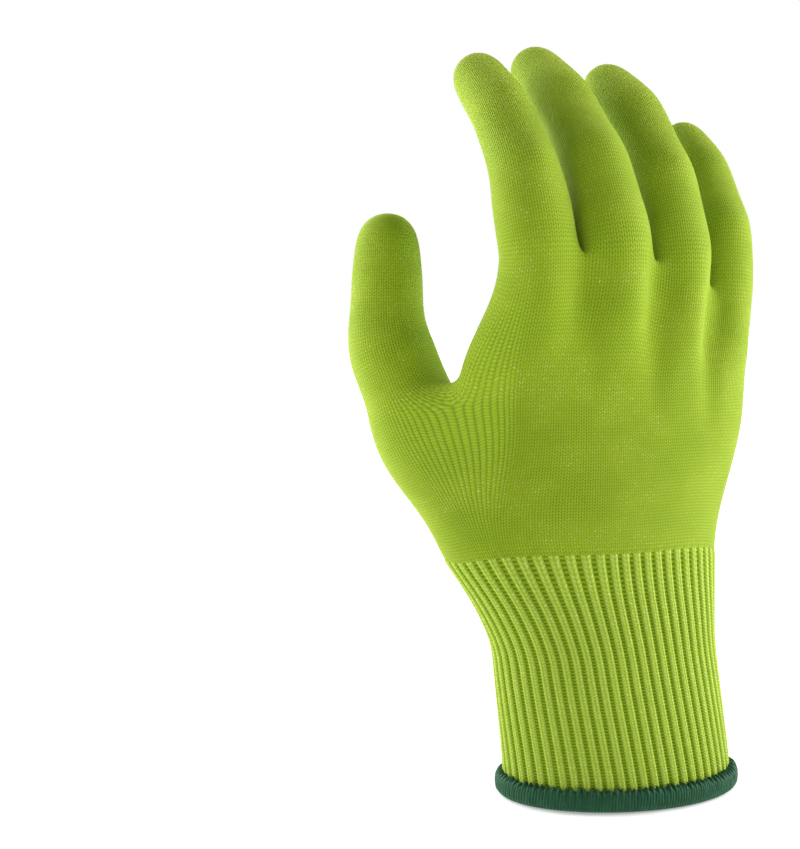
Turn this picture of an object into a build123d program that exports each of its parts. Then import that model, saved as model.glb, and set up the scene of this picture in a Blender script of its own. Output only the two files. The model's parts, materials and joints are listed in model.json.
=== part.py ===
"""Seamless knitted cut resistant work glove, right hand, size 9, on a relaxed open hand.

The knit is one continuous piece. It is modelled as the knitting sections that bend apart
in use: four finger stalls, the thumb, the hand body, the ribbed cuff with its covered
elastic yarns, and the overlocked hem. Millimetres, +Z up the fingers, +Y the palm side,
-X the thumb side, origin at the centre of the wrist opening.
"""
import os
from math import cos, radians, sin

from build123d import *

# Knit
WALL = 1.3                  # fabric thickness
HEM_HEIGHT = 7.0            # overlocked edge
HEM_PROUD = 2.4             # how far the overlocked edge stands out from the cuff
HEM_ROUND = 2.2
WRIST_PIVOT = 59.0          # height of the wearer's wrist joint
WRIST_BAND = 13.0           # half length of the rib that bends over the wrist
CUFF_TOP = WRIST_PIVOT + WRIST_BAND
BAND_START = WRIST_PIVOT - WRIST_BAND
THUMB_CROTCH = 123.0

# Ellipses up the glove: height, centre x, centre y, half width, half depth
CUFF_SECTIONS = [
    (0, 0.0, 0.0, 37.6, 26.4),
    (20, -0.6, -0.3, 36.1, 25.2),
    (34, -1.6, 0.0, 35.3, 24.6),
    (BAND_START, -2.8, 1.5, 35.7, 24.5),
]
WRIST_SECTIONS = [
    (BAND_START, -2.8, 1.5, 35.7, 24.5),
    (WRIST_PIVOT, -4.2, 4.2, 37.8, 24.8),
    (CUFF_TOP, -5.2, 7.0, 41.2, 25.0),
]
PALM_SECTIONS = [
    (CUFF_TOP, -5.2, 7.0, 41.2, 25.0),
    (96, 0.0, 6.0, 43.0, 20.5),
    (THUMB_CROTCH, 2.0, 6.0, 45.8, 17.0),
    (146, 5.0, 4.5, 46.8, 14.0),
    (166, 5.5, 5.0, 47.0, 11.5),
]
# Top of the hand body between the fingers, seen from the back: x and height
WEB_LINE = [(-60, 161.5), (-3.4, 160.5), (10, 156.9), (29, 155.0), (31, 148.8), (60, 148.8)]

# Elastic yarns laid into the rib
ELASTIC_RADIUS = 0.3
ELASTIC_FIRST = 11.0
ELASTIC_STEP = 6.0
ELASTIC_COUNT = 6

# Finger stalls: root centre at the crotch, splay, tilts of the three segments towards
# the palm, segment lengths from the crotch up, radii from root to tip, and the half
# lengths of the bands that bend at the base joint, the knuckle and the tip joint
FINGERS = {
    "index": dict(root=(-26.0, 1.0, 164.0), splay=-3, tilts=(20, 41, 56), lengths=(27, 25, 24.5),
                  radii=(11.5, 10.3, 9.5, 8.5), bands=(7.5, 7.8, 5.0)),
    "middle": dict(root=(-1.5, 0.0, 164.0), splay=-2.5, tilts=(27, 47, 61), lengths=(31.5, 29.5, 28),
                   radii=(11.8, 10.3, 9.6, 8.4), bands=(7.8, 7.8, 5.0)),
    "ring": dict(root=(22.0, 4.0, 159.3), splay=0, tilts=(24, 44, 62), lengths=(31, 29.5, 29.5),
                 radii=(11.2, 10.1, 9.6, 8.0), bands=(7.5, 7.8, 5.0)),
    "little": dict(root=(42.3, 10.5, 150.0), splay=3, tilts=(16, 37, 55), lengths=(23, 23.5, 25),
                   radii=(9.6, 9.3, 8.6, 7.4), bands=(6.3, 7.0, 4.8)),
}
KNUCKLE_RISE = 5.5          # base joint above the crotch, along the finger
ROOT_DEPTH = 24.0           # how far a stall reaches down into the hand body

# Thumb: base joint, ball, bending joint and end of the tip, with the radii there
THUMB_BASE = Vector(-28.9, 20.0, 73.2)
THUMB_BALL = Vector(-47.7, 32.0, 102.5)
THUMB_BEND = Vector(-58.9, 44.5, 137.0)
THUMB_END = Vector(-57.5, 47.8, 175.0)
START_RADIUS, BALL_RADIUS, BEND_RADIUS, END_RADIUS = 17.5, 16.0, 11.7, 9.1
FOOT_PROUD = 0.4            # how much rounder the gusset's foot is than its cone
THUMB_BAND = 8.0            # half length of the band that bends
GUSSET_FOOT = 0.28          # where the gusset starts, from the base joint to the ball
GUSSET_SHARE = 0.55         # where the gusset ends, from the ball to the bending joint


def along(start, direction, distance):
    return Vector(*start) + Vector(*direction).normalized() * distance


def finger_direction(splay, tilt):
    s, t = radians(splay), radians(tilt)
    return Vector(sin(s) * cos(t), sin(t), cos(s) * cos(t))


def tube(start, end, start_radius, end_radius):
    """Hollow straight stretch of a stall."""
    with BuildPart() as piece:
        for inset, mode in ((0, Mode.ADD), (WALL, Mode.SUBTRACT)):
            with BuildSketch(Plane(origin=start, z_dir=end - start)):
                Circle(start_radius - inset)
            with BuildSketch(Plane(origin=end, z_dir=end - start)):
                Circle(end_radius - inset)
            loft(mode=mode)
    return piece


def bent_band(before, corner, after, radius):
    """Hollow stretch that curves around a joint."""
    with BuildPart() as piece:
        with BuildLine() as path:
            TangentArc(before, after, tangent=corner - before)
        with BuildSketch(Plane(origin=before, z_dir=corner - before)):
            Circle(radius)
            Circle(radius - WALL, mode=Mode.SUBTRACT)
        sweep(path=path.line)
    return piece


def closed_tip(start, end, start_radius, end_radius):
    """Hollow stretch that narrows and closes in a round end."""
    axis = (end - start).normalized()
    side = axis.cross(Vector(1, 0, 0)).normalized()
    straight = (end - start).length - end_radius
    with BuildPart() as piece:
        with BuildSketch(Plane(origin=start, x_dir=side, z_dir=side.cross(axis))):
            with BuildLine():
                Polyline((start_radius - WALL, 0), (start_radius, 0), (end_radius, straight))
                CenterArc((0, straight), end_radius, 0, 90)
                Line((0, straight + end_radius), (0, straight + end_radius - WALL))
                CenterArc((0, straight), end_radius - WALL, 0, 90)
                Line((end_radius - WALL, straight), (start_radius - WALL, 0))
            make_face()
        revolve(axis=Axis(start, axis))
    return piece


def section_solid(sections, inset):
    """Solid through ellipses at rising heights, drawn in by inset."""
    with BuildPart() as solid:
        for height, x, y, half_width, half_depth in sections:
            with BuildSketch(Plane((x, y, height))):
                Ellipse(half_width - inset, half_depth - inset)
        loft()
    return solid.part


def hollow_sections(sections):
    """Open-ended shell through the sections."""
    with BuildPart() as piece:
        add(section_solid(sections, 0))
        add(section_solid(sections, WALL), mode=Mode.SUBTRACT)
    return piece


def root_end(finger):
    """Centre of a finger root's upper rim, where its base band starts."""
    axis = finger_direction(finger["splay"], 0)
    return along(finger["root"], axis, KNUCKLE_RISE - finger["bands"][0])


def finger_joints(finger):
    """Base joint, knuckle, tip joint and end of the tip, from the root upwards."""
    splay, tilts, lengths = finger["splay"], finger["tilts"], finger["lengths"]
    base = along(finger["root"], finger_direction(splay, 0), KNUCKLE_RISE)
    knuckle = along(base, finger_direction(splay, tilts[0]), lengths[0] - KNUCKLE_RISE)
    tip_joint = along(knuckle, finger_direction(splay, tilts[1]), lengths[1])
    tip = along(tip_joint, finger_direction(splay, tilts[2]), lengths[2])
    return base, knuckle, tip_joint, tip


def hand_solid(inset):
    """Hand body up to the web line, with its finger roots, drawn in by inset."""
    web_line = [(x, height - inset) for x, height in WEB_LINE]
    with BuildPart() as solid:
        add(section_solid(PALM_SECTIONS, inset))
        with BuildSketch(Plane.XZ):
            Polygon((WEB_LINE[-1][0], 0), (WEB_LINE[0][0], 0), *web_line, align=None)
        extrude(amount=WEB_LINE[-1][0], both=True, mode=Mode.INTERSECT)
        for finger in FINGERS.values():
            axis = finger_direction(finger["splay"], 0)
            with BuildSketch(Plane(origin=root_end(finger), z_dir=axis)):
                Circle(finger["radii"][0] - inset)
            extrude(amount=-ROOT_DEPTH)
    return solid.part


def gusset_solid(inset):
    """Cone that the thumb grows out of, with a round foot, drawn in by inset."""
    with BuildPart() as solid:
        with BuildSketch(Plane(origin=GUSSET_START, z_dir=THUMB_BALL - THUMB_BASE)):
            Circle(START_RADIUS - inset)
        with BuildSketch(Plane(origin=THUMB_BALL, z_dir=GUSSET_END - THUMB_BASE)):
            Circle(BALL_RADIUS - inset)
        with BuildSketch(Plane(origin=GUSSET_END, z_dir=THUMB_BEND - THUMB_BALL)):
            Circle(GUSSET_RADIUS - inset)
        loft(ruled=True)
        with Locations(GUSSET_START):
            Sphere(START_RADIUS + FOOT_PROUD - inset)
    return solid.part


def write(piece, name):
    piece.part.label = name
    export_step(piece.part, f"parts/{name}.step")
    solids = len(piece.part.solids())
    print(f"{name:18s} solids {solids}  volume {piece.part.volume:9.1f}")


GUSSET_START = THUMB_BASE + (THUMB_BALL - THUMB_BASE) * GUSSET_FOOT
GUSSET_END = THUMB_BALL + (THUMB_BEND - THUMB_BALL) * GUSSET_SHARE
GUSSET_RADIUS = BALL_RADIUS + (BEND_RADIUS - BALL_RADIUS) * GUSSET_SHARE

os.makedirs("parts", exist_ok=True)

# Hem: the overlock thread wraps the cuff's edge inside and out
_, hem_x, hem_y, hem_width, hem_depth = CUFF_SECTIONS[0]
with BuildPart() as hem_overlock:
    with BuildSketch(Plane((hem_x, hem_y, 0))):
        Ellipse(hem_width + HEM_PROUD, hem_depth + HEM_PROUD)
        Ellipse(hem_width - WALL, hem_depth - WALL, mode=Mode.SUBTRACT)
    extrude(amount=HEM_HEIGHT)
    fillet(hem_overlock.edges().filter_by(GeomType.LINE, reverse=True).group_by(SortBy.LENGTH)[-1],
           radius=HEM_ROUND)
write(hem_overlock, "hem_overlock")

# Ribbed cuff from the hem to the wrist, and its top, which bends over the wrist
with BuildPart() as rib_cuff:
    add(hollow_sections(CUFF_SECTIONS).part)
    split(bisect_by=Plane.XY.offset(HEM_HEIGHT), keep=Keep.TOP)
write(rib_cuff, "rib_cuff")
write(hollow_sections(WRIST_SECTIONS), "wrist_rib")

# Elastic yarns: rings inside the thickness of the rib
cuff_outer = section_solid(CUFF_SECTIONS, WALL / 2 - ELASTIC_RADIUS)
cuff_inner = section_solid(CUFF_SECTIONS, WALL / 2 + ELASTIC_RADIUS)
with BuildPart() as cuff_elastic:
    add(cuff_outer)
    add(cuff_inner, mode=Mode.SUBTRACT)
    with BuildPart(mode=Mode.INTERSECT):
        for step in range(ELASTIC_COUNT):
            with BuildSketch(Plane.XY.offset(ELASTIC_FIRST + step * ELASTIC_STEP)):
                Circle(2 * hem_width)
            extrude(amount=2 * ELASTIC_RADIUS)
write(cuff_elastic, "cuff_elastic")

# Hand body: the five-finger part with the thumb's opening, and the four-finger part
hand_outer, hand_inner = hand_solid(0), hand_solid(WALL)
gusset_outer, gusset_inner = gusset_solid(0), gusset_solid(WALL)
with BuildPart() as hand:
    add(hand_outer)
    add(hand_inner, mode=Mode.SUBTRACT)
    add(gusset_outer, mode=Mode.SUBTRACT)
for name, side in (("lower_palm", Keep.BOTTOM), ("upper_palm", Keep.TOP)):
    with BuildPart() as palm_half:
        add(hand.part)
        split(bisect_by=Plane.XY.offset(THUMB_CROTCH), keep=side)
    write(palm_half, name)

# Thumb gusset: the cone outside the hand body, down to the rib
with BuildPart() as thumb_gusset:
    add(gusset_outer)
    add(gusset_inner, mode=Mode.SUBTRACT)
    add(hand_inner, mode=Mode.SUBTRACT)
    split(bisect_by=Plane.XY.offset(CUFF_TOP), keep=Keep.TOP)
write(thumb_gusset, "thumb_gusset")

# Thumb above the gusset
thumb_axis = (THUMB_BEND - THUMB_BALL).normalized()
thumb_tip_axis = (THUMB_END - THUMB_BEND).normalized()
bend_start = THUMB_BEND - thumb_axis * THUMB_BAND
bend_end = THUMB_BEND + thumb_tip_axis * THUMB_BAND
write(tube(GUSSET_END, bend_start, GUSSET_RADIUS, BEND_RADIUS), "thumb_proximal")
write(bent_band(bend_start, THUMB_BEND, bend_end, BEND_RADIUS), "thumb_knuckle")
write(closed_tip(bend_end, THUMB_END, BEND_RADIUS, END_RADIUS), "thumb_tip")

# Finger stalls
for name, finger in FINGERS.items():
    root_radius, knuckle_radius, tip_joint_radius, tip_radius = finger["radii"]
    base_band, knuckle_band, tip_band = finger["bands"]
    base, knuckle, tip_joint, tip = finger_joints(finger)
    root, proximal, middle, distal = (
        finger_direction(finger["splay"], tilt) for tilt in (0, *finger["tilts"]))
    write(bent_band(base - root * base_band, base, base + proximal * base_band, root_radius),
          f"{name}_root")
    write(tube(base + proximal * base_band, knuckle - proximal * knuckle_band,
               root_radius, knuckle_radius), f"{name}_proximal")
    write(bent_band(knuckle - proximal * knuckle_band, knuckle,
                    knuckle + middle * knuckle_band, knuckle_radius), f"{name}_knuckle")
    write(tube(knuckle + middle * knuckle_band, tip_joint - middle * tip_band,
               knuckle_radius, tip_joint_radius), f"{name}_middle")
    write(bent_band(tip_joint - middle * tip_band, tip_joint,
                    tip_joint + distal * tip_band, tip_joint_radius), f"{name}_tip_joint")
    write(closed_tip(tip_joint + distal * tip_band, tip, tip_joint_radius, tip_radius),
          f"{name}_tip")
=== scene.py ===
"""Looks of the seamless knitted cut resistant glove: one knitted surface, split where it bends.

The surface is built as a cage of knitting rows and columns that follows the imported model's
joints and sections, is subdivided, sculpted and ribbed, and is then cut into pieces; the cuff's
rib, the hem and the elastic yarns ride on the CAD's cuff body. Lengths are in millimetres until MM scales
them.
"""
import json
import math

import bpy
import numpy as np
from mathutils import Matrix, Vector


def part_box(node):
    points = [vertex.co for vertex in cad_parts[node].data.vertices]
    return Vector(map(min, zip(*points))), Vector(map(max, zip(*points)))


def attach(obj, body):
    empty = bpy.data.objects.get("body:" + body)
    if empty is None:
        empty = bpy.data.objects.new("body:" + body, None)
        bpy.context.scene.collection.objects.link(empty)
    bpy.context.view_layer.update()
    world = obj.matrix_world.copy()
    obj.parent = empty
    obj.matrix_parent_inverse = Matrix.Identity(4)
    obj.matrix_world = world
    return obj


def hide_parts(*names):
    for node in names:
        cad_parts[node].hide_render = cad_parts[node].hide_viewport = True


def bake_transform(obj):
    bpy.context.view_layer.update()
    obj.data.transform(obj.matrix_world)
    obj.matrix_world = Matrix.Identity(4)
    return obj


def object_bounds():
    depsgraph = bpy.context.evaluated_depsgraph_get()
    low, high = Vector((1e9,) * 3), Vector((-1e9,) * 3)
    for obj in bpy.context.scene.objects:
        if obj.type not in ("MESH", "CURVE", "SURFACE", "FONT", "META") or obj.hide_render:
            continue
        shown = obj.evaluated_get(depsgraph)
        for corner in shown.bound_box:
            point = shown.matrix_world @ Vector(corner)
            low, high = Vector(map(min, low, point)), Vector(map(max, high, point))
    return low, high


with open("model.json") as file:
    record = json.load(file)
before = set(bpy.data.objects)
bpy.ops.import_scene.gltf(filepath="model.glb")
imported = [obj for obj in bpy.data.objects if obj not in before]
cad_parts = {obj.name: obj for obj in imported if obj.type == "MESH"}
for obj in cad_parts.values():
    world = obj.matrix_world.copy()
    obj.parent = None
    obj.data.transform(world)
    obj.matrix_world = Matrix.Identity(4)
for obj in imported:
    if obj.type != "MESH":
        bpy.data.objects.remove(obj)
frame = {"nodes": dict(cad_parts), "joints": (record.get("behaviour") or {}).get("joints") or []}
cad_low, cad_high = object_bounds()

MM = 0.001
FINGERS = ("little", "ring", "middle", "index")     # in the order of the knitting columns

# Knitting columns: every stall is STALL columns round, in a back, a side, a front and a side
FLAT = 5                    # columns across the back of a stall, and across its front
SIDE = 3                    # columns down each side of a stall
STALL = 2 * (FLAT + SIDE)
HAND = 8 * FLAT + 2 * SIDE          # four-finger body
FIVE = HAND + STALL - 2 * SIDE      # five-finger body and cuff; one rib to a column
WALES = 3                   # wales of plain knit in one column
COURSE = 1.0                # height of one course of plain knit
LEVELS = 3                  # subdivisions of the outer surface
INNER_LEVELS = 2            # and of the plainer inner one
FABRIC = 1.2                # thickness of the knit

# Rows
CUFF_ROW = 6.2              # height of a row in the cuff
PALM_ROWS = 8               # from the rib to the thumb's crotch
UPPER_ROWS = 6              # from there to the fingers' crotches
STALL_ROW = 5.0             # height of a row in the fingers and the thumb
KNUCKLE_RISE = 5.5          # a finger's base joint above its crotch
RIB_DEPTH = 0.95            # from a furrow's floor to a rib's crest, about
CUFF_FOOT = 2.0             # where the knit ends inside the hem
RIB_TOP_ARCH = 5.0          # the rib's last course rises over the back of the hand
BACK_START, BACK_REACH = 4.0, 20.0      # across that stretch of y, towards the back

joints = {j["name"]: j for j in frame["joints"]}


def joint_point(name):
    return np.array(joints[name]["pos_m"]) / MM


def joint_axis(name):
    axis = np.array(joints[name]["axis"], float)
    return axis / np.linalg.norm(axis)


def node_points(name):
    mesh = frame["nodes"][name].data
    points = np.zeros(len(mesh.vertices) * 3)
    mesh.vertices.foreach_get("co", points)
    return points.reshape(-1, 3) / MM


def unit(v):
    return v / np.linalg.norm(v)


def smooth(t):
    t = np.clip(t, 0, 1)
    return t * t * (3 - 2 * t)


def section(nodes, height):
    """Centre and half axes of the CAD shell's outline at a height."""
    points = np.vstack([node_points(n) for n in nodes])
    near = points[np.abs(points[:, 2] - height) < 0.6]
    low, high = near[:, :2].min(0), near[:, :2].max(0)
    return (low + high) / 2, (high - low) / 2


def add_object(name, mesh):
    obj = bpy.data.objects.new(name, mesh)
    bpy.context.scene.collection.objects.link(obj)
    return obj


# ---------------------------------------------------------------- cage

class Cage:
    """Quads with knitting coordinates: u counts columns, v is height along the knit."""

    def __init__(self):
        self.points, self.faces, self.uvs, self.pieces = [], [], [], []

    def ring(self, points):
        first = len(self.points)
        self.points.extend(points)
        return list(range(first, len(self.points)))

    def strip(self, low, high, us, v_low, v_high, piece):
        """Row of quads between two lists of corners; us has one value to each corner."""
        for k in range(len(low) - 1):
            self.faces.append((low[k + 1], low[k], high[k], high[k + 1]))
            self.uvs.append(((us[k + 1], v_low), (us[k], v_low), (us[k], v_high), (us[k + 1], v_high)))
            self.pieces.append(piece)

    def build(self, name):
        mesh = bpy.data.meshes.new(name)
        mesh.from_pydata([Vector(p) * MM for p in self.points], [], self.faces)
        layer = mesh.uv_layers.new(name="knit")
        for polygon, uvs, piece in zip(mesh.polygons, self.uvs, self.pieces):
            polygon.material_index = piece
            for loop, uv in zip(polygon.loop_indices, uvs):
                layer.data[loop].uv = uv
        return add_object(name, mesh)


def ellipse_ring(centre, half, height, count, start):
    """Points spaced evenly round an ellipse, clockwise seen from the fingers, from an angle."""
    fine = np.radians(start - np.linspace(0, 360, 1441))
    path = np.stack([centre[0] + half[0] * np.cos(fine), centre[1] + half[1] * np.sin(fine)], 1)
    lengths = np.concatenate([[0], np.cumsum(np.linalg.norm(np.diff(path, axis=0), axis=1))])
    places = np.arange(count) / count * lengths[-1]
    xs, ys = (np.interp(places, lengths, path[:, k]) for k in (0, 1))
    return np.stack([xs, ys, np.full(count, float(height))], 1)


def hermite(a, b, tangent_a, tangent_b, t):
    h00, h10 = 2 * t**3 - 3 * t**2 + 1, t**3 - 2 * t**2 + t
    h01, h11 = -2 * t**3 + 3 * t**2, t**3 - t**2
    return h00 * a + h10 * tangent_a + h01 * b + h11 * tangent_b


PATH_STEPS = 400            # points along a stall's centreline


class Stall:
    """A finger's or the thumb's centreline and frame; radius_at is set once its places are known."""

    def __init__(self, stops, bends, lateral):
        """stops: corner points from the root up; bends: half length of the bend at each inner stop."""
        self.stops = [np.array(p, float) for p in stops]
        self.lateral = lateral
        spans = [np.linalg.norm(b - a) for a, b in zip(self.stops, self.stops[1:])]
        self.places = np.concatenate([[0], np.cumsum(spans)])
        self.length = self.places[-1]
        directions = [unit(b - a) for a, b in zip(self.stops, self.stops[1:])]
        self.s = np.linspace(0, self.length, PATH_STEPS)
        tangents = np.tile(directions[0], (PATH_STEPS, 1))
        for place, bend, before, after in zip(self.places[1:-1], bends, directions, directions[1:]):
            share = smooth((self.s - place + bend) / (2 * bend))[:, None]
            tangents = tangents + share * (after - before)
        self.tangents = tangents / np.linalg.norm(tangents, axis=1)[:, None]
        step = self.s[1] - self.s[0]
        middle = (self.tangents[1:] + self.tangents[:-1]) / 2 * step
        self.path = self.stops[0] + np.vstack([np.zeros(3), np.cumsum(middle, axis=0)])
        self.radius_at = None

    def at(self, s):
        """Centre, tangent, lateral and back directions at a distance from the root."""
        centre = np.array([np.interp(s, self.s, self.path[:, k]) for k in range(3)])
        tangent = unit(np.array([np.interp(s, self.s, self.tangents[:, k]) for k in range(3)]))
        lateral = unit(self.lateral - tangent * (self.lateral @ tangent))
        return centre, tangent, lateral, np.cross(lateral, tangent)


CORNER = 0.5 * FLAT * 360 / STALL           # angle of a stall's corners from its back
STALL_ANGLES = np.radians(CORNER - 360 / STALL * np.arange(STALL))
CAGE_SWELL = 1.026          # subdivision draws a sixteen-sided ring in by this much
STALL_DEPTH = 0.96          # a stall's depth to its width


def stall_ring(stall, s):
    """Corners round a stall, from its back corner on the +lateral side."""
    centre, _, lateral, back = stall.at(s)
    r = stall.radius_at(s) * CAGE_SWELL
    return [centre + r * (math.cos(a) * STALL_DEPTH * back + math.sin(a) * lateral) for a in STALL_ANGLES]


CROWN_RINGS = (0.86, 0.52)  # a rounded tip's narrowing rings, as shares of its radius
CROWN_RISE = 0.45           # height along the knit from one to the next, likewise
GRID_DEPTH = 0.9
GRID_DRAW = 0.95            # the grid that closes a tip lies a little inside its last ring


def close_stall(cage, stall, ring, v, us, piece):
    """Round tip: two narrowing rings and a grid of quads."""
    radius = stall.radius_at(stall.length) * CAGE_SWELL
    crown = stall.length - radius
    centre, tangent, lateral, back = stall.at(crown)

    def on_crown(x, y):
        rise = math.sqrt(max(radius**2 - x * x - y * y, 0))
        return centre + x * lateral + y * back + rise * tangent

    for share in CROWN_RINGS:
        corners = [on_crown(share * radius * math.sin(a), share * radius * math.cos(a) * STALL_DEPTH)
                   for a in STALL_ANGLES]
        upper = cage.ring(corners)
        v_next = v + radius * CROWN_RISE
        cage.strip(ring + ring[:1], upper + upper[:1], us, v, v_next, piece)
        ring, v = upper, v_next
    grid = {}
    for i in range(FLAT + 1):
        grid[i, 0] = ring[i]
        grid[i, SIDE] = ring[(2 * FLAT + SIDE - i) % STALL]
    for k in range(1, SIDE):
        grid[0, k] = ring[STALL - k]
        grid[FLAT, k] = ring[FLAT + k]
    half_x, half_y = share * radius, share * radius * GRID_DEPTH
    for i in range(1, FLAT):
        for k in range(1, SIDE):
            x = half_x * (1 - 2 * i / FLAT) * GRID_DRAW
            y = half_y * (1 - 2 * k / SIDE) * GRID_DRAW
            grid[i, k] = cage.ring([on_crown(x, y)])[0]
    for i in range(FLAT):
        for k in range(SIDE):
            quad = (grid[i + 1, k], grid[i, k], grid[i, k + 1], grid[i + 1, k + 1])
            cage.faces.append(quad)
            u0, u1 = us[0] + i, us[0] + i + 1
            cage.uvs.append(((u1, v + k), (u0, v + k), (u0, v + k + 1), (u1, v + k + 1)))
            cage.pieces.append(piece)


def grow_stall(cage, stall, ring, v, us, pieces):
    """Rings from the root ring to the tip. pieces: (distance where it ends, piece number)."""
    end = stall.length - stall.radius_at(stall.length)
    stops = [STALL_START] + [s for s, _ in pieces[:-1]] + [end]
    below = 0.0
    for k, stop in enumerate(stops):
        span = stop - below
        rows = 1 if k == 0 else max(1, round(span / STALL_ROW))
        piece = pieces[max(0, k - 1)][1]
        for row in range(1, rows + 1):
            s = below + span * row / rows
            upper = cage.ring(stall_ring(stall, s))
            v_next = v + span / rows
            cage.strip(ring + ring[:1], upper + upper[:1], us, v, v_next, piece)
            ring, v = upper, v_next
        below = stop
    close_stall(cage, stall, ring, v, us, pieces[-1][1])


# ---------------------------------------------------------------- the glove's own shape

PIECES = ["cuff_rib", "wrist_rib_band", "hand", "thumb_base", "thumb_end"] + [
    f"{finger}_{part}" for finger in FINGERS for part in ("base", "mid", "end")]
PIECE = {name: number for number, name in enumerate(PIECES)}


def node_end(name, away_from):
    """The CAD node's point farthest from another point."""
    points = node_points(name)
    return points[np.argmax(np.linalg.norm(points - away_from, axis=1))]


def foot_ring(name, upper_point):
    """Centre, radius and upward axis of a straight CAD tube's lower end."""
    points = np.unique(node_points(name).round(3), axis=0)
    axis = unit(upper_point - points.mean(0))
    foot = points[(points - points.mean(0)) @ axis < 0]
    centre = foot.mean(0)
    return centre, np.linalg.norm(foot - centre, axis=1).max(), axis


def radius_round(node, centre, axis):
    """Largest distance of a CAD band's surface from its own axis, near a point."""
    points = node_points(node) - centre
    along = points @ axis
    near = points[np.abs(along) < np.abs(along).min() + 1.0]
    return np.linalg.norm(near - np.outer(near @ axis, axis), axis=1).max()


TIP_TAPER = 0.9             # a fingertip's radius to that of its last joint
TIP_ROOM = {"little": 0.3, "ring": 0.8, "middle": 4.0, "index": 4.4, "thumb": 2.6}  # knit past the tips
BASE_SWELL = {"little": 1.0, "ring": 1.0, "middle": 1.01, "index": 1.05}
PROXIMAL_SWELL = {"little": 1.03, "ring": 1.04, "middle": 1.08, "index": 1.15}
KNUCKLE_REACH = 11          # how far a knuckle's thickening goes along the finger
TIP_JOINT_REACH = 9


def finger_stall(finger):
    base, knuckle, tip_joint = (joint_point(f"{finger}_{j}_bend") for j in ("base", "knuckle", "tip"))
    hinge = joint_axis(f"{finger}_base_bend")
    up = np.array([hinge[2], 0, -hinge[0]])
    root = base - KNUCKLE_RISE * up
    tip = node_end(f"{finger}_tip", tip_joint)
    tip = tip + unit(tip - tip_joint) * TIP_ROOM[finger]
    first, second, third = unit(knuckle - base), unit(tip_joint - knuckle), unit(tip - tip_joint)
    band = [max(node_points(f"{finger}_{n}") @ d) - p @ d for n, d, p in (
        ("root", first, base), ("knuckle", second, knuckle), ("tip_joint", third, tip_joint))]
    root_radius = radius_round(f"{finger}_root", base - band[0] * up, up)
    mid_radius = radius_round(f"{finger}_knuckle", knuckle + band[1] * second, second)
    tip_joint_radius = radius_round(f"{finger}_tip_joint", tip_joint + band[2] * third, third)
    stall = Stall([root, base, knuckle, tip_joint, tip], band, -hinge)
    at_base, at_knuckle, at_tip = stall.places[1:4]
    tip_radius = tip_joint_radius * TIP_TAPER
    stall.radius_at = radius_profile(
        [(0, root_radius), (at_base, root_radius * BASE_SWELL[finger]),
         (at_knuckle - KNUCKLE_REACH, mid_radius * PROXIMAL_SWELL[finger]),
         (at_knuckle, mid_radius * 1.05), (at_knuckle + KNUCKLE_REACH, mid_radius * 0.965),
         (at_tip, tip_joint_radius * 1.02), (at_tip + TIP_JOINT_REACH, tip_joint_radius * 0.99),
         (stall.length - tip_radius, tip_radius)])
    return stall


def radius_profile(stops):
    places, radii = zip(*stops)
    return lambda s: float(np.interp(s, places, radii))


THUMB_CURVE_HALF = 10.0     # the thumb's centreline curves over this much each way from its bend
THUMB_BEND_HALF = 8.0       # and its knit bends over this much
THUMB_ROOT_DROP = 8.0       # the thumb's crotch ring below the CAD gusset's end


def thumb_stall(web_side):
    bend = joint_point("thumb_bend")
    tip = node_end("thumb_tip", bend)
    tip = tip + unit(tip - bend) * TIP_ROOM["thumb"]
    start, start_radius, up = foot_ring("thumb_proximal", bend)
    root = start - THUMB_ROOT_DROP * up
    bend_radius = radius_round("thumb_knuckle", bend, up)
    lateral = unit(web_side - root)
    stall = Stall([root, bend, tip], [THUMB_CURVE_HALF], lateral)
    at_bend = stall.places[1]
    stall.radius_at = radius_profile(
        [(0, start_radius * 1.05), (THUMB_ROOT_DROP, start_radius), (at_bend - 5, bend_radius * 1.07),
         (at_bend, bend_radius * 1.03), (at_bend + 10, bend_radius * 0.9),
         (at_bend + 20, bend_radius * 0.88), (stall.length - bend_radius * 0.8, bend_radius * 0.8)])
    return stall


HEM_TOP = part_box("rib_cuff")[0].z / MM
BAND_LOW, BAND_TOP = (corner.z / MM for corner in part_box("wrist_rib"))
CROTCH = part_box("lower_palm")[1].z / MM
LITTLE_SIDE = {"hem": -2.0, "rib_top": -14.0, "palm": 4.0}     # angle of the little finger's side
THUMB_WEB_RISE = (-6, 2.5, 2.5, -6)     # the thumb's web above its crotch, from back to front
STALL_START = 4.0           # a stall's first ring above its root ring


def cuff_ring(height):
    """Ring of FIVE columns round the cuff, following the CAD sections."""
    stations = [(HEM_TOP, "rib_cuff"), (BAND_LOW, "wrist_rib"), (BAND_TOP, "wrist_rib")]
    rows = np.array([(z, *np.concatenate(section([node], z))) for z, node in stations])
    values = [np.interp(height, rows[:, 0], rows[:, k]) for k in range(1, 5)]
    turn = np.interp(height, [0, BAND_TOP], [LITTLE_SIDE["hem"], LITTLE_SIDE["rib_top"]])
    return on_side(values[:2], values[2:], height, FIVE, SIDE, turn)


def on_side(centre, half, height, count, side, turn):
    """Evenly spaced ring with the middle of its little side at an angle."""
    probe = ellipse_ring(centre, half, height, 2 * count, turn)
    return np.array([probe[(2 * j + side) % (2 * count)] for j in range(count)])


def palm_ring(height, node):
    centre, half = section([node], height)
    return on_side(centre, half, height, HAND, SIDE, LITTLE_SIDE["palm"])


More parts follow.
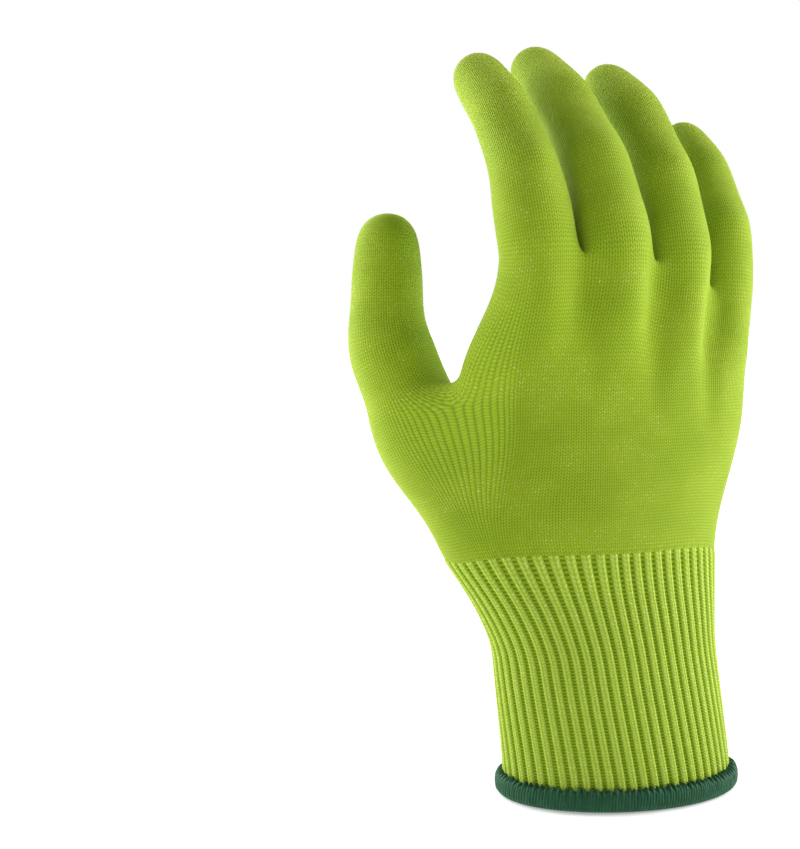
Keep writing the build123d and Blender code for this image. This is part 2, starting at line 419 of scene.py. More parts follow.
def finger_roots(stalls):
    """The four-finger body's top ring, and each stall's first ring, webs shared."""
    rings = {f: np.array(stall_ring(stalls[f], 0)) for f in FINGERS}
    for left, right in zip(FINGERS, FINGERS[1:]):
        for k in range(SIDE + 1):
            mine, theirs = FLAT + k, (STALL - k) % STALL
            shared = (rings[left][mine] + rings[right][theirs]) / 2
            rings[left][mine] = rings[right][theirs] = shared
    return rings


def build_cage():
    cage = Cage()
    stalls = {f: finger_stall(f) for f in FINGERS}
    every = np.arange(FIVE + 1)

    # Cuff
    heights = list(np.linspace(CUFF_FOOT, BAND_LOW, 1 + round((BAND_LOW - CUFF_FOOT) / CUFF_ROW)))
    band = list(np.linspace(BAND_LOW, BAND_TOP, 1 + round((BAND_TOP - BAND_LOW) / CUFF_ROW)))
    ring = cage.ring(cuff_ring(heights[0]))
    for low, high, piece in [(*pair, "cuff_rib") for pair in zip(heights, heights[1:])] + [
            (*pair, "wrist_rib_band") for pair in zip(band, band[1:])]:
        upper = cage.ring(cuff_ring(high))
        cage.strip(ring + ring[:1], upper + upper[:1], every, low, high, PIECE[piece])
        ring = upper
    for k in ring:
        x, y, z = cage.points[k]
        cage.points[k] = np.array([x, y, z + RIB_TOP_ARCH * smooth((BACK_START - y) / BACK_REACH)])

    # Five-finger body, up to the thumb's crotch
    wrist = np.array([cage.points[k] for k in ring])
    palm = palm_ring(CROTCH, "lower_palm")
    back_web, front_web = 4 * FLAT, 4 * FLAT + SIDE
    web_side = palm[back_web:front_web + 1].mean(0)
    thumb = thumb_stall(web_side)
    thumb_ring = np.array(stall_ring(thumb, 0))
    web = np.array([(palm[back_web + k] + thumb_ring[(STALL - k) % STALL]) / 2 for k in range(SIDE + 1)])
    web[:, 2] = [CROTCH + rise for rise in THUMB_WEB_RISE]
    around_thumb = thumb_ring[:STALL - SIDE + 1].copy()
    around_thumb[0], around_thumb[-1] = web[0], web[-1]
    top = np.vstack([palm[:back_web], around_thumb, palm[front_web + 1:]])
    thumb_up = thumb.at(0)[1]
    up = np.array([0, 0, 1.0])
    of_thumb = np.zeros(FIVE)
    of_thumb[back_web:back_web + STALL - SIDE + 1] = 1
    of_thumb = (np.roll(of_thumb, 1) + 2 * of_thumb + np.roll(of_thumb, -1)) / 4
    reach = np.linalg.norm(top - wrist, axis=1)[:, None]
    leave = up * reach * 0.9
    arrive = (up * (1 - of_thumb[:, None]) + thumb_up * of_thumb[:, None]) * reach
    for row in range(1, PALM_ROWS + 1):
        t = row / PALM_ROWS
        points = hermite(wrist, top, leave, arrive, t)
        upper = cage.ring(points)
        v_low, v_high = (BAND_TOP + (CROTCH - BAND_TOP) * (row - k) / PALM_ROWS for k in (1, 0))
        cage.strip(ring + ring[:1], upper + upper[:1], every, v_low, v_high, PIECE["hand"])
        ring = upper

    # The thumb's web, its own ring and the four-finger body's ring
    web_inner = cage.ring(web[1:-1])
    web_ids = [ring[back_web], *web_inner, ring[back_web + STALL - SIDE]]
    thumb_ids = ring[back_web:back_web + STALL - SIDE + 1] + web_inner[::-1]
    hand_ids = ring[:back_web] + web_ids + ring[back_web + STALL - SIDE + 1:]
    thumb_us = np.arange(STALL + 1) + back_web
    thumb_split = thumb.places[1] - THUMB_BEND_HALF
    grow_stall(cage, thumb, thumb_ids, CROTCH, thumb_us,
               [(thumb_split, PIECE["thumb_base"]), (thumb.length, PIECE["thumb_end"])])

    # Four-finger body, up to the fingers' crotches
    roots = finger_roots(stalls)
    top = np.zeros((HAND, 3))
    for order, finger in enumerate(FINGERS):
        for i in range(FLAT + 1):
            top[order * FLAT + i] = roots[finger][i]
            top[HAND - SIDE - order * FLAT - i] = roots[finger][2 * FLAT + SIDE - i]
    for k in range(1, SIDE):
        top[back_web + k] = roots["index"][FLAT + k]
        top[HAND - SIDE + k] = roots["little"][2 * FLAT + SIDE + k]
    low = np.array([cage.points[k] for k in hand_ids])
    reach = np.abs(top[:, 2] - low[:, 2])[:, None]
    lean = np.array([0, 0, 1.0]) * reach
    us = np.concatenate([np.arange(front_web + 1), np.arange(front_web, HAND + 1) + FIVE - HAND])
    ring = hand_ids
    crotch_v = top[:, 2].mean()
    for row in range(1, UPPER_ROWS + 1):
        t = row / UPPER_ROWS
        points = hermite(low, top, lean, lean, t)
        upper = cage.ring(points)
        v_low, v_high = (CROTCH + (crotch_v - CROTCH) * (row - k) / UPPER_ROWS for k in (1, 0))
        for a, b, first in ((0, front_web, 0), (front_web, HAND, front_web + 1)):
            us_part = us[first:first + b - a + 1]
            low_part = (ring + ring[:1])[a:b + 1]
            high_part = (upper + upper[:1])[a:b + 1]
            cage.strip(low_part, high_part, us_part, v_low, v_high, PIECE["hand"])
        ring = upper

    # Fingers
    webs = {}
    for left, right in zip(FINGERS, FINGERS[1:]):
        webs[left] = cage.ring([roots[left][FLAT + k] for k in range(1, SIDE)])
    for order, finger in enumerate(FINGERS):
        back = [ring[order * FLAT + i] for i in range(FLAT + 1)]
        front = [ring[(HAND - SIDE - (order + 1) * FLAT + i) % HAND] for i in range(FLAT + 1)]
        inner = webs[finger] if finger in webs else [ring[back_web + k] for k in range(1, SIDE)]
        if order:
            outer = webs[FINGERS[order - 1]][::-1]
        else:
            outer = [ring[HAND - SIDE + k] for k in range(1, SIDE)]
        ids = back + inner + front + outer
        stall = stalls[finger]
        mid = (stall.places[1] + stall.places[2]) / 2
        far = (stall.places[2] + stall.places[3]) / 2
        us_finger = np.arange(STALL + 1) + order * FLAT
        grow_stall(cage, stall, ids, crotch_v, us_finger,
                   [(mid, PIECE[f"{finger}_base"]), (far, PIECE[f"{finger}_mid"]),
                    (stall.length, PIECE[f"{finger}_end"])])
    return cage, stalls, thumb


# ---------------------------------------------------------------- surface

def subdivided(cage_object, levels):
    """Smooth surface of the cage as arrays: points, normals, quads, corner uvs and piece numbers."""
    modifier = cage_object.modifiers.new("smooth", "SUBSURF")
    modifier.levels = modifier.render_levels = levels
    modifier.uv_smooth = "NONE"
    bpy.context.view_layer.update()
    evaluated = cage_object.evaluated_get(bpy.context.evaluated_depsgraph_get())
    mesh = evaluated.to_mesh()
    count = len(mesh.vertices)
    points, normals = np.zeros(count * 3), np.zeros(count * 3)
    mesh.vertices.foreach_get("co", points)
    mesh.vertex_normals.foreach_get("vector", normals)
    quads = np.zeros(len(mesh.loops), int)
    mesh.loops.foreach_get("vertex_index", quads)
    uvs = np.zeros(len(mesh.loops) * 2)
    mesh.uv_layers["knit"].data.foreach_get("uv", uvs)
    pieces = np.zeros(len(mesh.polygons), int)
    mesh.polygons.foreach_get("material_index", pieces)
    evaluated.to_mesh_clear()
    cage_object.modifiers.remove(modifier)
    return {"points": points.reshape(-1, 3) / MM, "normals": normals.reshape(-1, 3),
            "quads": quads.reshape(-1, 4), "uvs": uvs.reshape(-1, 4, 2), "pieces": pieces}


def vertex_values(surface, corner_values):
    """One value to each point from the values at the quads' corners."""
    values = np.zeros(len(surface["points"]))
    values[surface["quads"].ravel()] = corner_values.ravel()
    return values


def bump(points, centre, radius, squash=(1, 1, 1)):
    offset = (points - np.array(centre)) / np.array(squash)
    return np.exp(-np.sum(offset**2, axis=1) / radius**2)


def groove(points, start, end, width):
    """How near points lie to a straight line, from 1 on it to 0, fading out at both ends."""
    start, end = np.array(start), np.array(end)
    line = end - start
    share = (points - start) @ line / (line @ line)
    nearest = start + np.clip(share, 0, 1)[:, None] * line
    distance = np.linalg.norm(points - nearest, axis=1)
    return np.exp(-(distance / width) ** 2) * smooth(share / 0.25 + 0.4) * smooth((1.25 - share) / 0.6)


HEEL_FLARE = 8.5            # slack knit over the heel of the thumb
HEEL_HEIGHT = 84
PALM_DRAW = 1.8             # in along the palm's little side
CUFF_SHIFT = 1.4            # the hem end leans to the little side
CUFF_DRAW = 0.022           # and is narrower by this share


def flared(points):
    """Slack knit: out over the heel of the thumb, in along the palm's little side and at the hem."""
    x, y, z = points.T
    heel = HEEL_FLARE * np.exp(-((z - HEEL_HEIGHT) / 20) ** 2) * smooth((-x - 8) / 34)
    edge = PALM_DRAW * np.exp(-((z - 135) / 22) ** 2) * smooth((x - 10) / 30)
    foot = 1 - smooth(z / 48)
    return np.stack([x - heel * 0.95 - edge + foot * (CUFF_SHIFT - x * CUFF_DRAW), y + heel * 0.3, z], 1)


KNUCKLE_DROP = {"little": 13, "ring": 14, "middle": 15, "index": 15}    # knuckles below the crotches
KNUCKLE_LIFT = 1.7
MID_KNUCKLE = (0.9, 6.5)    # lift and reach of the bump over a finger's middle joint
END_KNUCKLE = (0.45, 5.0)   # and over its last one
PAD_LIFT = 0.7
VALLEY_DEPTH = 1.25         # between the tendons on the back
PALM_VALLEY = 0.7           # between the pads on the palm
THENAR_LIFT = 2.6           # ball of the thumb
EDGE_LIFT = 1.3             # heel of the palm on the little side
PALM_HOLLOW = 1.8
THUMB_KNUCKLE = 0.9
WRIST_LEAN = -1.5           # the valleys' lower ends lie this far to the thumb side


def sculpt(surface, stalls, thumb):
    """Knuckles, pads and hollows of the worn hand."""
    points, normals = surface["points"], surface["normals"]
    lift = np.zeros(len(points))
    crotches = {}
    for finger, stall in stalls.items():
        for place, (rise, reach) in zip(stall.places[2:4], (MID_KNUCKLE, END_KNUCKLE)):
            centre, _, _, back = stall.at(place)
            lift += rise * bump(points, centre + back * stall.radius_at(place), reach)
        centre, tangent, _, back = stall.at(0)
        crotches[finger] = centre
        knuckle = centre + back * stall.radius_at(0) - tangent * KNUCKLE_DROP[finger]
        lift += KNUCKLE_LIFT * bump(points, knuckle, 7.5, (1, 1, 1.5))
        pad = centre - back * stall.radius_at(0) - tangent * 7
        lift += PAD_LIFT * bump(points, pad, 8.0)
    back_y = np.array([0, -1.0, 0])
    for left, right in zip(FINGERS, FINGERS[1:]):
        middle = (crotches[left] + crotches[right]) / 2
        foot = middle + back_y * 14 + np.array([-0.12 * middle[0] + WRIST_LEAN, 0, -42.0])
        lift -= VALLEY_DEPTH * groove(points, middle + back_y * 11, foot, 4.2) * (normals[:, 1] < 0.2)
        palm_foot = middle - back_y * 14 - np.array([0, 0, 14.0])
        lift -= PALM_VALLEY * groove(points, middle - back_y * 11, palm_foot, 4.0)
    root = thumb.at(0)[0]
    heel = np.array([root[0] + 17, root[1] - 3, BAND_TOP + 14])
    lift += THENAR_LIFT * bump(points, heel + np.array([2, 12, 4]), 15)
    lift += EDGE_LIFT * bump(points, np.array([34, 24, BAND_TOP + 22]), 14, (1, 1, 1.6))
    lift -= PALM_HOLLOW * bump(points, np.array([6, 26, BAND_TOP + 42]), 15, (1, 1, 1.4))
    bend, _, lateral, _ = thumb.at(thumb.places[1])
    lift += THUMB_KNUCKLE * bump(points, bend - lateral * thumb.radius_at(thumb.places[1]), 8)
    surface["points"] = points + normals * lift[:, None]


def rib(surface):
    """Raised rib columns of the cuff, fading out where the plain knit starts."""
    columns = vertex_values(surface, surface["uvs"][:, :, 0])
    heights = vertex_values(surface, surface["uvs"][:, :, 1])
    wave = 0.5 + 0.5 * np.cos(2 * np.pi * columns)
    profile = smooth(wave * 1.4) - 0.55
    inside = smooth((BAND_TOP + 0.6 - heights) / 1.8)
    surface["points"] = surface["points"] + surface["normals"] * (RIB_DEPTH * profile * inside)[:, None]


def mesh_from(name, points, quads, uvs, spread=None):
    mesh = bpy.data.meshes.new(name)
    used, compact = np.unique(quads, return_inverse=True)
    compact = compact.reshape(quads.shape)
    mesh.vertices.add(len(used))
    mesh.vertices.foreach_set("co", (points[used] * MM).ravel())
    mesh.loops.add(compact.size)
    mesh.loops.foreach_set("vertex_index", compact.ravel().astype(np.int32))
    mesh.polygons.add(len(compact))
    mesh.polygons.foreach_set("loop_start", np.arange(len(compact), dtype=np.int32) * 4)
    layer = mesh.uv_layers.new(name="knit")
    layer.data.foreach_set("uv", uvs.ravel())
    if spread is not None:
        mesh.attributes.new("spread", "FLOAT", "POINT").data.foreach_set("value", spread[used])
    mesh.update(calc_edges=True)
    mesh.validate()
    mesh.polygons.foreach_set("use_smooth", np.ones(len(compact), bool))
    return mesh


def piece_object(name, outer, inner):
    """Outer and inner faces of one piece of the knit in one mesh."""
    number = PIECE[name]
    pick, pick_in = outer["pieces"] == number, inner["pieces"] == number
    points = np.vstack([outer["points"], inner["points"]])
    quads = np.vstack([outer["quads"][pick], inner["quads"][pick_in][:, ::-1] + len(outer["points"])])
    uvs = np.vstack([outer["uvs"][pick], inner["uvs"][pick_in][:, ::-1]])
    spread = np.concatenate([outer["spread"], inner["spread"]])
    return add_object(name, mesh_from(name, points, quads, uvs, spread))


def tip_spread(surface, stalls):
    """How far apart the wales still are: 1 on the stalls, 0 where they gather at a tip."""
    spread = np.ones(len(surface["points"]))
    for stall in stalls:
        radius = stall.radius_at(stall.length)
        distance = np.linalg.norm(surface["points"] - stall.at(stall.length)[0], axis=1)
        spread = np.minimum(spread, smooth((distance / radius - 0.45) / 0.9))
    return spread


cage, stalls, thumb = build_cage()
cage_object = cage.build("cage")
outer = subdivided(cage_object, LEVELS)
inner = subdivided(cage_object, INNER_LEVELS)
bpy.data.objects.remove(cage_object)
for surface in (outer, inner):
    surface["spread"] = tip_spread(surface, [*stalls.values(), thumb])
sculpt(outer, stalls, thumb)
rib(outer)
outer["points"], inner["points"] = flared(outer["points"]), flared(inner["points"])
inner["points"] = inner["points"] - inner["normals"] * FABRIC
knit = {name: piece_object(name, outer, inner) for name in PIECES}


# ---------------------------------------------------------------- hem

HEM_THICK = 4.4             # rolled band, across
WRAPS = 216                 # turns of thread round the hem
WRAP_STEPS = 6              # points along the hem in each
HEM_PROFILE = 28            # points round its section
WRAP_RELIEF = 0.42          # a wrap's crest above the gap to the next
WRAP_SLANT = 0.35
TALL_SPREAD, TIGHT_SPREAD = 0.22, 0.05      # how unevenly the wraps reach up, and how tight they lie


def overlock_hem():
    """Overlock thread wound over the cuff's edge: one rolled band with every wrap modelled."""
    low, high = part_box("hem_overlock")
    centre = np.array([(low.x + high.x) / 2, (low.y + high.y) / 2]) / MM
    half = np.array([high.x - low.x, high.y - low.y]) / 2 / MM - HEM_THICK / 2
    height = (high.z - low.z) / MM
    around = WRAPS * WRAP_STEPS
    path = ellipse_ring(centre, half, 0, around, 0)[:, :2]
    ahead = np.roll(path, -1, axis=0) - np.roll(path, 1, axis=0)
    outward = -np.stack([-ahead[:, 1], ahead[:, 0]], 1) / np.linalg.norm(ahead, axis=1)[:, None]
    outward *= np.sign(np.sum(outward * (path - centre), axis=1))[:, None]
    profile = np.linspace(0, 2 * np.pi, HEM_PROFILE, endpoint=False)
    phase, across = np.meshgrid(np.arange(around) / WRAP_STEPS, profile, indexing="ij")
    rise, out = np.sin(across), np.cos(across)
    rise = np.sign(rise) * np.abs(rise) ** 0.8
    random = np.random.default_rng(7)
    tall = np.repeat(random.normal(0, TALL_SPREAD, WRAPS), WRAP_STEPS)[:, None]
    tight = np.repeat(random.normal(0, TIGHT_SPREAD, WRAPS), WRAP_STEPS)[:, None]
    slant = WRAP_SLANT * rise
    ridge = np.abs(np.cos(np.pi * (phase + slant))) ** 0.7
    thick = HEM_THICK / 2 + WRAP_RELIEF * (ridge - 0.7) + tight
    bite = np.where(rise > 0, (0.45 * np.cos(np.pi * (phase + slant)) + tall) * np.abs(rise) ** 3, 0)
    z = height / 2 + rise * (height / 2 - 0.25 + 0.3 * (ridge - 0.7)) + bite
    radial = out * thick
    points = np.stack([path[:, None, 0] + outward[:, None, 0] * radial,
                       path[:, None, 1] + outward[:, None, 1] * radial, z], 2)
    index = np.arange(around * HEM_PROFILE).reshape(around, HEM_PROFILE)
    nxt, up = np.roll(index, -1, axis=0), np.roll(index, -1, axis=1)
    quads = np.stack([index, nxt, np.roll(nxt, -1, axis=1), up], 2).reshape(-1, 4)
    u = np.stack([phase, phase + 1 / WRAP_STEPS, phase + 1 / WRAP_STEPS, phase], 2)
    v0 = across / (2 * np.pi)
    v = np.stack([v0, v0, v0 + 1 / HEM_PROFILE, v0 + 1 / HEM_PROFILE], 2)
    uvs = np.stack([u, v], 3).reshape(-1, 4, 2)
    mesh = mesh_from("hem_thread", flared(points.reshape(-1, 3)), quads, uvs)
    return add_object("hem_thread", mesh)


YARN_RADIUS = 0.2
YARN_DEPTH = 0.85           # below the cuff's mean surface
YARN_GAP = 2.0              # heights nearer than this belong to one CAD ring
YARN_STEPS = 240
YARN_SIDES = 8
YARN_BEADS, BEAD_DEPTH = 40, 0.12       # the covering thread's turns swell each ring


def elastic_yarns():
    """Covered elastic rings in the thickness of the rib, at the heights of the CAD's."""
    heights = node_points("cuff_elastic")[:, 2]
    levels = np.unique(heights.round(1))
    starts = levels[np.insert(np.diff(levels) > YARN_GAP, 0, True)]
    sides = np.linspace(0, 2 * np.pi, YARN_SIDES, endpoint=False)
    points, quads = [], []
    for start in starts:
        base = cuff_ring(start + YARN_RADIUS)
        middle = base[:, :2].mean(0)
        angles = np.linspace(0, 2 * np.pi, YARN_STEPS, endpoint=False)
        half = np.ptp(base[:, :2], axis=0) / 2 - YARN_DEPTH
        wave = YARN_RADIUS * (1 + BEAD_DEPTH * np.sin(YARN_BEADS * angles))
        out = half + wave[:, None, None] * np.cos(sides)[None, :, None]
        first = len(points) * YARN_STEPS * YARN_SIDES
        ring = np.stack([middle[0] + out[..., 0] * np.cos(angles)[:, None],
                         middle[1] + out[..., 1] * np.sin(angles)[:, None],
                         start + YARN_RADIUS + wave[:, None] * np.sin(sides)], 2)
        points.append(ring.reshape(-1, 3))
        index = first + np.arange(YARN_STEPS * YARN_SIDES).reshape(YARN_STEPS, YARN_SIDES)
        ahead, beside = np.roll(index, -1, axis=0), np.roll(index, -1, axis=1)
        quads.append(np.stack([index, ahead, np.roll(ahead, -1, axis=1), beside], 2).reshape(-1, 4))
    quads = np.vstack(quads)
    mesh = mesh_from("elastic_yarns", flared(np.vstack(points)), quads, np.zeros((len(quads), 4, 2)))
    return add_object("elastic_yarns", mesh)


yarns = elastic_yarns()
hem = overlock_hem()


# ---------------------------------------------------------------- materials

GATHERED = 0.42             # mean height of the stitches, which they fade to at a tip
LIME = (0.272, 0.405, 0.006, 1)
LIME_WARM = (0.32, 0.435, 0.010, 1)
# painted shade in the dips between the plain knit's stitches
LIME_PAINTED_RECESS_SHADE = (0.13, 0.235, 0.002, 1)
# painted shade at the floor of the rib's furrows
LIME_PAINTED_FURROW_SHADE = (0.12, 0.205, 0.002, 1)
# painted highlight, paler and greyer, on the raised legs of the rib
LIME_PAINTED_RIB_HIGHLIGHT = (0.41, 0.54, 0.065, 1)
LIME_FURROW = (0.25, 0.40, 0.006, 1)
PALE_FIBRE = (0.70, 0.76, 0.42, 1)
HEM_GREEN = (0.008, 0.085, 0.034, 1)
HEM_DARK = (0.004, 0.05, 0.018, 1)
# painted highlight on the crests of the hem thread's strands
HEM_PAINTED_STRAND_HIGHLIGHT = (0.02, 0.16, 0.065, 1)
ELASTIC_WHITE = (0.75, 0.76, 0.7, 1)
SHEEN = 0.4
SHEEN_ROUGHNESS = 0.45
SPECULAR = 0.25
SHEEN_TINT = (0.85, 1.0, 0.16, 1)
HEM_SHEEN_TINT = (0.5, 0.9, 0.65, 1)
RIB_COURSE = 0.94           # height of one course of rib
JERSEY_SLANT, RIB_SLANT = 1.1, 1.3      # how steeply a stitch's legs rise
JERSEY_RELIEF, RIB_RELIEF, THREAD_RELIEF = 0.00028, 0.0003, 0.00012     # bump, in metres


class Nodes:
    """Short calls for building a shader: numbers and sockets go in, a socket comes out."""

    def __init__(self, name):
        self.material = bpy.data.materials.new(name)
        self.material.use_nodes = True
        self.tree = self.material.node_tree
        self.shader = self.tree.nodes["Principled BSDF"]

    def put(self, socket, value):
        if isinstance(value, bpy.types.NodeSocket):
            self.tree.links.new(value, socket)
        else:
            socket.default_value = value

    def math(self, operation, *values, clamp=False):
        node = self.tree.nodes.new("ShaderNodeMath")
        node.operation, node.use_clamp = operation, clamp
        for socket, value in zip(node.inputs, values):
            self.put(socket, value)
        return node.outputs[0]

    def mix(self, share, a, b):
        node = self.tree.nodes.new("ShaderNodeMix")
        node.data_type = "RGBA"
        self.put(node.inputs[0], share)
        self.put(node.inputs[6], a)
        self.put(node.inputs[7], b)
        return node.outputs[2]

    def ramp(self, value, low, high):
        node = self.tree.nodes.new("ShaderNodeMapRange")
        node.interpolation_type = "SMOOTHSTEP"
        for socket, number in zip(node.inputs, (value, low, high, 0.0, 1.0)):
            self.put(socket, number)
        return node.outputs[0]

    def vector(self, x, y):
        node = self.tree.nodes.new("ShaderNodeCombineXYZ")
        for socket, value in zip(node.inputs, (x, y)):
            self.put(socket, value)
        return node.outputs[0]

    def noise(self, vector, scale, detail=2.0):
        node = self.tree.nodes.new("ShaderNodeTexNoise")
        self.put(node.inputs["Vector"], vector)
        node.inputs["Scale"].default_value = scale
        node.inputs["Detail"].default_value = detail
        return node.outputs["Fac"]

    def uv(self):
        node = self.tree.nodes.new("ShaderNodeUVMap")
        node.uv_map = "knit"
        split = self.tree.nodes.new("ShaderNodeSeparateXYZ")
        self.tree.links.new(node.outputs[0], split.inputs[0])
        return split.outputs[0], split.outputs[1]

    def wave(self, value):
        """Cosine with a period of one, from 0 to 1."""
        turn = self.math("COSINE", self.math("MULTIPLY", value, 2 * math.pi))
        return self.math("MULTIPLY_ADD", turn, 0.5, 0.5)

    def finish(self, colour, height, distance, roughness, sheen, sheen_tint, strength=0.8):
        bump_node = self.tree.nodes.new("ShaderNodeBump")
        bump_node.inputs["Strength"].default_value = strength
        bump_node.inputs["Distance"].default_value = distance
        self.put(bump_node.inputs["Height"], height)
        self.put(self.shader.inputs["Base Color"], colour)
        self.put(self.shader.inputs["Normal"], bump_node.outputs[0])
        self.put(self.shader.inputs["Roughness"], roughness)
        self.shader.inputs["Sheen Weight"].default_value = sheen
        self.shader.inputs["Sheen Roughness"].default_value = SHEEN_ROUGHNESS
        self.shader.inputs["Sheen Tint"].default_value = sheen_tint
        self.shader.inputs["Specular IOR Level"].default_value = SPECULAR
        return self.material


def yarn_legs(nodes, across, course, slant):
    """Height of a column of V stitches; across is 0 at its middle and 0.5 at its edge."""
    side = nodes.math("ABSOLUTE", across)
    leg = nodes.math("SINE", nodes.math("MULTIPLY", side, 2 * math.pi), clamp=True)
    leg = nodes.math("POWER", leg, 0.6)
    along = nodes.math("MULTIPLY_ADD", side, -slant, course)
    bead = nodes.math("MULTIPLY_ADD", nodes.wave(along), 0.55, 0.45)
    return nodes.math("MULTIPLY", leg, bead), along


def centred(nodes, value):
    """Distance from the nearest whole number, signed."""
    return nodes.math("SUBTRACT", nodes.math("FRACT", nodes.math("ADD", value, 0.5)), 0.5)


def jersey_colour(nodes, u, v):
    """Plain knit: colour, with painted shade where the stitches dip, and height."""
    wale = nodes.math("MULTIPLY", u, WALES)
    course = nodes.math("DIVIDE", v, COURSE)
    height, along = yarn_legs(nodes, centred(nodes, wale), course, JERSEY_SLANT)
    attribute = nodes.tree.nodes.new("ShaderNodeAttribute")
    attribute.attribute_name = "spread"
    relief = nodes.math("SUBTRACT", height, GATHERED)
    height = nodes.math("MULTIPLY_ADD", relief, attribute.outputs["Fac"], GATHERED)
    cloud = nodes.noise(nodes.vector(nodes.math("MULTIPLY", u, 3.7), v), 0.06, 3.0)
    streak = nodes.vector(nodes.math("MULTIPLY", wale, 2.2), nodes.math("MULTIPLY", along, 0.9))
    fibre = nodes.noise(streak, 1.6, 2.0)
    # Painted shade: the colour darkens where the stitches' height drops, between legs and courses
    colour = nodes.mix(nodes.ramp(height, 0.05, 0.8), LIME_PAINTED_RECESS_SHADE, LIME)
    colour = nodes.mix(nodes.math("MULTIPLY", nodes.ramp(cloud, 0.35, 0.7), 0.35), colour, LIME_WARM)
    fleck = nodes.math("MULTIPLY", nodes.ramp(fibre, 0.57, 0.70), nodes.ramp(height, 0.35, 0.8))
    patch = nodes.math("MULTIPLY_ADD", nodes.ramp(cloud, 0.45, 0.62), 0.42, 0.12)
    return nodes.mix(nodes.math("MULTIPLY", fleck, patch), colour, PALE_FIBRE), height


def rib_colour(nodes, u, v):
    """Ribbed knit: a raised column of V stitches, then a furrow of purl bars; painted highlight on the
    columns, painted shade in the furrows.
    """
    course = nodes.math("DIVIDE", v, RIB_COURSE)
    offset = centred(nodes, u)
    crest = nodes.ramp(nodes.math("ABSOLUTE", offset), 0.37, 0.28)
    legs, along = yarn_legs(nodes, nodes.math("MULTIPLY", offset, 1.5), course, RIB_SLANT)
    bars = nodes.math("MULTIPLY_ADD", nodes.wave(course), 0.5, 0.1)
    height = nodes.math("ADD", nodes.math("MULTIPLY", crest, legs),
                        nodes.math("MULTIPLY", nodes.math("SUBTRACT", 1.0, crest), bars))
    streak = nodes.vector(nodes.math("MULTIPLY", u, 9.0), nodes.math("MULTIPLY", along, 0.8))
    fibre = nodes.noise(streak, 1.3, 2.0)
    cloud = nodes.noise(nodes.vector(nodes.math("MULTIPLY", u, 3.7), v), 0.08, 2.0)
    # Painted shade: the furrow darkens where the purl bars sink
    furrow = nodes.mix(nodes.ramp(bars, 0.15, 0.55), LIME_PAINTED_FURROW_SHADE, LIME_FURROW)
    # Painted highlight: the raised legs of a rib column turn paler and greyer
    ridge = nodes.mix(nodes.ramp(legs, 0.1, 0.75), LIME_FURROW, LIME_PAINTED_RIB_HIGHLIGHT)
    fleck = nodes.math("MULTIPLY", nodes.ramp(fibre, 0.52, 0.68), nodes.ramp(legs, 0.3, 0.8))
    pale = nodes.math("MULTIPLY", fleck, nodes.math("MULTIPLY_ADD", cloud, 0.5, 0.25))
    ridge = nodes.mix(pale, ridge, PALE_FIBRE)
    # Painted light: the columns take the highlighted colour, the furrows the painted shade
    return nodes.mix(crest, furrow, ridge), height


def jersey_material():
    nodes = Nodes("jersey_knit")
    u, v = nodes.uv()
    colour, height = jersey_colour(nodes, u, v)
    return nodes.finish(colour, height, JERSEY_RELIEF, 0.82, SHEEN, SHEEN_TINT)


def rib_material():
    nodes = Nodes("rib_knit")
    u, v = nodes.uv()
    colour, height = rib_colour(nodes, u, v)
    return nodes.finish(colour, height, RIB_RELIEF, 0.85, SHEEN, SHEEN_TINT)


def hem_material():
    nodes = Nodes("hem_thread")
    u, v = nodes.uv()
    strand = nodes.wave(nodes.math("MULTIPLY_ADD", v, 6.0, nodes.math("MULTIPLY", u, 3.0)))
    shade = nodes.noise(nodes.vector(u, nodes.math("MULTIPLY", v, 4.0)), 0.7, 3.0)
    colour = nodes.mix(nodes.ramp(shade, 0.3, 0.7), HEM_DARK, HEM_GREEN)
    # Painted highlight: lighter green on the strands' crests, the same wave as their bump
    colour = nodes.mix(nodes.math("MULTIPLY", strand, 0.25), colour, HEM_PAINTED_STRAND_HIGHLIGHT)
    return nodes.finish(colour, strand, THREAD_RELIEF, 0.6, 0.35, HEM_SHEEN_TINT, 0.6)


def elastic_material():
    nodes = Nodes("elastic_yarn")
    nodes.shader.inputs["Base Color"].default_value = ELASTIC_WHITE
    nodes.shader.inputs["Roughness"].default_value = 0.7
    return nodes.material


jersey, ribbed, thread = jersey_material(), rib_material(), hem_material()
for name, obj in knit.items():
    obj.data.materials.append(ribbed if name in ("cuff_rib", "wrist_rib_band") else jersey)
hem.data.materials.append(thread)
yarns.data.materials.append(elastic_material())


# ---------------------------------------------------------------- riding on the frame

def place(point):
    return tuple(np.array(point) * MM)


def seam(one, other):
    """Points where two pieces of the knit meet."""
    corners = [np.unique(outer["quads"][outer["pieces"] == PIECE[name]]) for name in (one, other)]
    return outer["points"][np.intersect1d(*corners)]


def bend_piece(name, bodies, start, end, *nodes, slot="jersey_knit"):
    piece = knit[name]
    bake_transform(piece)
    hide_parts(*nodes)


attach(knit["cuff_rib"], "cuff")
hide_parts("rib_cuff")
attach(hem, "cuff")
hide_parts("hem_overlock")
wrist = joint_point("wrist_bend")
bend_piece("wrist_rib_band", ("cuff", "palm"), (wrist[0], wrist[1], BAND_LOW),
           (wrist[0], wrist[1], BAND_TOP), "wrist_rib", slot="rib_knit")
